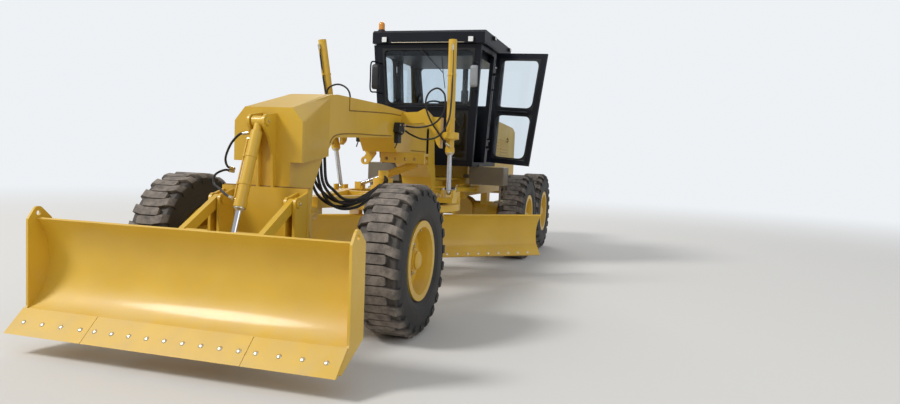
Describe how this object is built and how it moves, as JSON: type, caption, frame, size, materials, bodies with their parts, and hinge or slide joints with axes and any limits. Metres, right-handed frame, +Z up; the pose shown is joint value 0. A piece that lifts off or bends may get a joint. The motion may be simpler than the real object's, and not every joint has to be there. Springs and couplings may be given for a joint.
{
  "type": "motor grader",
  "caption": "Articulated motor grader with a front dozer blade, turning moldboard under a gooseneck frame, glazed cab with its left door open, and paired rear wheels.",
  "frame": {"origin": "on the ground at the middle of the machine's bounding box", "axes": "+X to the machine's left, +Y to its rear, +Z up; the dozer blade faces -Y"},
  "size_m": [3.1352, 9.95, 3.5503],
  "materials": {
    "yellow_paint": "machine yellow enamel, semi gloss",
    "dark_paint": "blue-black powder coat, satin",
    "grey_paint": "grey enamel, satin",
    "engine_iron": "cast, painted dark grey",
    "chrome_rod": "hard chromed and polished",
    "tyre": "moulded rubber, dusty",
    "glass": "clear toughened glass",
    "seat_fabric": "woven seat cover",
    "dark_plastic": "moulded, fine grained",
    "lamp": "clear and orange lenses"
  },
  "bodies": {
    "rear_frame": {"rear_frame": "yellow_paint", "rear_axle": "yellow_paint", "hood": "yellow_paint", "grille": "dark_paint", "engine": "engine_iron", "exhaust": "dark_paint", "cab_frame": "dark_paint", "cab_roof": "dark_paint", "cab_glass": "glass", "cab_seat": "seat_fabric", "cab_console": "dark_plastic", "cab_mirrors": "dark_paint", "cab_lamps": "lamp", "steps_tanks": "grey_paint"},
    "front_frame": {"front_frame": "yellow_paint", "front_axle": "yellow_paint", "lift_saddle": "yellow_paint", "dozer_bracket": "yellow_paint"},
    "knuckle_left": {"knuckle_left": "yellow_paint"},
    "knuckle_right": {"knuckle_right": "yellow_paint"},
    "tie_rod": {"tie_rod": "yellow_paint"},
    "drawbar": {"drawbar": "yellow_paint"},
    "circle": {"circle": "yellow_paint", "side_shift_tube": "yellow_paint"},
    "moldboard": {"moldboard": "yellow_paint", "side_shift_rod": "chrome_rod"},
    "push_arms": {"push_arms": "yellow_paint"},
    "upper_links": {"upper_links": "yellow_paint"},
    "dozer_blade": {"dozer_blade": "yellow_paint"},
    "dozer_tube": {"dozer_tube": "yellow_paint"},
    "dozer_rod": {"dozer_rod": "chrome_rod"},
    "lift_left_tube": {"lift_tube_left": "yellow_paint"},
    "lift_left_rod": {"lift_rod_left": "chrome_rod"},
    "lift_right_tube": {"lift_tube_right": "yellow_paint"},
    "lift_right_rod": {"lift_rod_right": "chrome_rod"},
    "centre_shift_tube": {"centre_shift_tube": "yellow_paint"},
    "centre_shift_rod": {"centre_shift_rod": "chrome_rod"},
    "turn_left_tube": {"turn_tube_left": "yellow_paint"},
    "turn_left_rod": {"turn_rod_left": "chrome_rod"},
    "turn_right_tube": {"turn_tube_right": "yellow_paint"},
    "turn_right_rod": {"turn_rod_right": "chrome_rod"},
    "door_left": {"door_left": "dark_paint", "door_left_glass": "glass"},
    "door_right": {"door_right": "dark_paint", "door_right_glass": "glass"},
    "wheel_front_left": {"tyre_front_left": "tyre", "rim_front_left": "yellow_paint"},
    "wheel_front_right": {"tyre_front_right": "tyre", "rim_front_right": "yellow_paint"},
    "wheel_middle_left": {"tyre_middle_left": "tyre", "rim_middle_left": "yellow_paint"},
    "wheel_middle_right": {"tyre_middle_right": "tyre", "rim_middle_right": "yellow_paint"},
    "wheel_rear_left": {"tyre_rear_left": "tyre", "rim_rear_left": "yellow_paint"},
    "wheel_rear_right": {"tyre_rear_right": "tyre", "rim_rear_right": "yellow_paint"}
  },
  "joints": [
    {"name": "articulation", "type": "hinge", "parent": "rear_frame", "child": "front_frame", "pos_m": [-0.20749, 1.105, 1.125], "axis": [0, 0, 1], "range_deg": [-25, 25]},
    {"name": "turn_left_swing", "type": "hinge", "parent": "rear_frame", "child": "turn_left_tube", "pos_m": [0.35251, 1.555, 1.12], "axis": [0, 0, 1], "range_deg": [-11.15, 11.15]},
    {"name": "turn_left_stroke", "type": "slide", "parent": "turn_left_tube", "child": "turn_left_rod", "axis": [-0.257, -0.9664, 0], "range_m": [-0.1946, 0.1946]},
    {"name": "turn_right_swing", "type": "hinge", "parent": "rear_frame", "child": "turn_right_tube", "pos_m": [-0.76749, 1.555, 1.12], "axis": [0, 0, 1], "range_deg": [-11.15, 11.15]},
    {"name": "turn_right_stroke", "type": "slide", "parent": "turn_right_tube", "child": "turn_right_rod", "axis": [0.257, -0.9664, 0], "range_m": [-0.1946, 0.1946]},
    {"name": "steer", "type": "hinge", "parent": "front_frame", "child": "knuckle_left", "pos_m": [0.64251, -3.145, 0.675], "axis": [0, 0, 1], "range_deg": [-40, 40]},
    {"name": "steer_right", "type": "hinge", "parent": "front_frame", "child": "knuckle_right", "pos_m": [-1.05749, -3.145, 0.675], "axis": [0, 0, 1], "range_deg": [-40, 40]},
    {"name": "tie_rod_pivot", "type": "hinge", "parent": "knuckle_left", "child": "tie_rod", "pos_m": [0.64251, -2.915, 0.675], "axis": [0, 0, 1], "range_deg": [-40, 40]},
    {"name": "roll_front_left", "type": "hinge", "parent": "knuckle_left", "child": "wheel_front_left", "pos_m": [0.90501, -3.145, 0.675], "axis": [1, 0, 0], "continuous": true},
    {"name": "roll_front_right", "type": "hinge", "parent": "knuckle_right", "child": "wheel_front_right", "pos_m": [-1.31999, -3.145, 0.675], "axis": [1, 0, 0], "continuous": true},
    {"name": "roll_middle_left", "type": "hinge", "parent": "rear_frame", "child": "wheel_middle_left", "pos_m": [0.90501, 2.225, 0.675], "axis": [1, 0, 0], "continuous": true},
    {"name": "roll_middle_right", "type": "hinge", "parent": "rear_frame", "child": "wheel_middle_right", "pos_m": [-1.31999, 2.225, 0.675], "axis": [1, 0, 0], "continuous": true},
    {"name": "roll_rear_left", "type": "hinge", "parent": "rear_frame", "child": "wheel_rear_left", "pos_m": [0.90501, 3.765, 0.675], "axis": [1, 0, 0], "continuous": true},
    {"name": "roll_rear_right", "type": "hinge", "parent": "rear_frame", "child": "wheel_rear_right", "pos_m": [-1.31999, 3.765, 0.675], "axis": [1, 0, 0], "continuous": true},
    {"name": "drawbar_lift", "type": "hinge", "parent": "front_frame", "child": "drawbar", "pos_m": [-0.20749, -2.815, 1], "axis": [1, 0, 0], "range_deg": [-4.5, 6]},
    {"name": "lift_left_swing", "type": "hinge", "parent": "front_frame", "child": "lift_left_tube", "pos_m": [0.62151, -0.845, 1.85], "axis": [-0.9865, -0.1626, -0.02], "range_deg": [-3.33, 4.11]},
    {"name": "lift_left_stroke", "type": "slide", "parent": "lift_left_tube", "child": "lift_left_rod", "axis": [0.0316, -0.069, -0.9971], "range_m": [-0.208, 0.1585]},
    {"name": "lift_right_swing", "type": "hinge", "parent": "front_frame", "child": "lift_right_tube", "pos_m": [-0.92249, -0.845, 1.85], "axis": [-0.3726, -0.9217, -0.1081], "range_deg": [-3.06, 3.75]},
    {"name": "lift_right_stroke", "type": "slide", "parent": "lift_right_tube", "child": "lift_right_rod", "axis": [0.1426, 0.0583, -0.9881], "range_m": [-0.2182, 0.1662]},
    {"name": "centre_shift_swing", "type": "hinge", "parent": "front_frame", "child": "centre_shift_tube", "pos_m": [0.26251, -0.74395, 1.53], "axis": [-0.0464, 0.9913, 0.1228], "range_deg": [-10.85, 14.14]},
    {"name": "centre_shift_stroke", "type": "slide", "parent": "centre_shift_tube", "child": "centre_shift_rod", "axis": [-0.9356, 0, -0.3531], "range_m": [-0.077, 0.0603]},
    {"name": "circle_turn", "type": "hinge", "parent": "drawbar", "child": "circle", "pos_m": [-0.07583, -0.59891, 0.93], "axis": [0, 0, 1], "continuous": true},
    {"name": "side_shift", "type": "slide", "parent": "circle", "child": "moldboard", "axis": [0.766, 0.6428, 0], "range_m": [-0.55, 0.38]},
    {"name": "dozer_lift", "type": "hinge", "parent": "front_frame", "child": "push_arms", "pos_m": [-0.20749, -3.785, 0.6], "axis": [-1, 0, 0], "range_deg": [-12, 50]},
    {"name": "upper_links_pivot", "type": "hinge", "parent": "front_frame", "child": "upper_links", "pos_m": [-0.20749, -3.785, 1.16], "axis": [-1, 0, 0], "range_deg": [-12, 50]},
    {"name": "dozer_level", "type": "hinge", "parent": "push_arms", "child": "dozer_blade", "pos_m": [-0.20749, -4.43532, 0.2469], "axis": [-1, 0, 0], "range_deg": [-50, 12]},
    {"name": "dozer_cylinder_swing", "type": "hinge", "parent": "front_frame", "child": "dozer_tube", "pos_m": [-0.20749, -3.741, 1.84], "axis": [1, 0, 0], "range_deg": [-6.91, 2.42]},
    {"name": "dozer_cylinder_stroke", "type": "slide", "parent": "dozer_tube", "child": "dozer_rod", "axis": [0, -0.3392, -0.9407], "range_m": [-0.3871, 0.1005]},
    {"name": "door_left_hinge", "type": "hinge", "parent": "rear_frame", "child": "door_left", "pos_m": [0.58464, 1.495, 2.36592], "axis": [0.0569, 0, 0.9984], "range_deg": [-74, 16]},
    {"name": "door_right_hinge", "type": "hinge", "parent": "rear_frame", "child": "door_right", "pos_m": [-0.99963, 1.495, 2.36592], "axis": [0.0569, 0, -0.9984], "range_deg": [0, 90]}
  ],
  "couplings": [
    {"joint": "turn_left_swing", "follows": "articulation", "ratio": 0.40616},
    {"joint": "turn_left_stroke", "follows": "articulation", "m_per_rad": -0.42318},
    {"joint": "turn_right_swing", "follows": "articulation", "ratio": 0.40616},
    {"joint": "turn_right_stroke", "follows": "articulation", "m_per_rad": 0.42318},
    {"joint": "steer_right", "follows": "steer", "ratio": 1},
    {"joint": "tie_rod_pivot", "follows": "steer", "ratio": -1},
    {"joint": "lift_left_swing", "follows": "drawbar_lift", "ratio": 0.51745},
    {"joint": "lift_left_stroke", "follows": "drawbar_lift", "m_per_rad": -1.8911},
    {"joint": "lift_right_swing", "follows": "drawbar_lift", "ratio": 0.45767},
    {"joint": "lift_right_stroke", "follows": "drawbar_lift", "m_per_rad": -1.9886},
    {"joint": "centre_shift_swing", "follows": "drawbar_lift", "ratio": 2.1894},
    {"joint": "centre_shift_stroke", "follows": "drawbar_lift", "m_per_rad": -0.64021},
    {"joint": "upper_links_pivot", "follows": "dozer_lift", "ratio": 1},
    {"joint": "dozer_level", "follows": "dozer_lift", "ratio": -1},
    {"joint": "dozer_cylinder_swing", "follows": "dozer_lift", "ratio": -0.11819},
    {"joint": "dozer_cylinder_stroke", "follows": "dozer_lift", "m_per_rad": -0.43218}
  ]
}
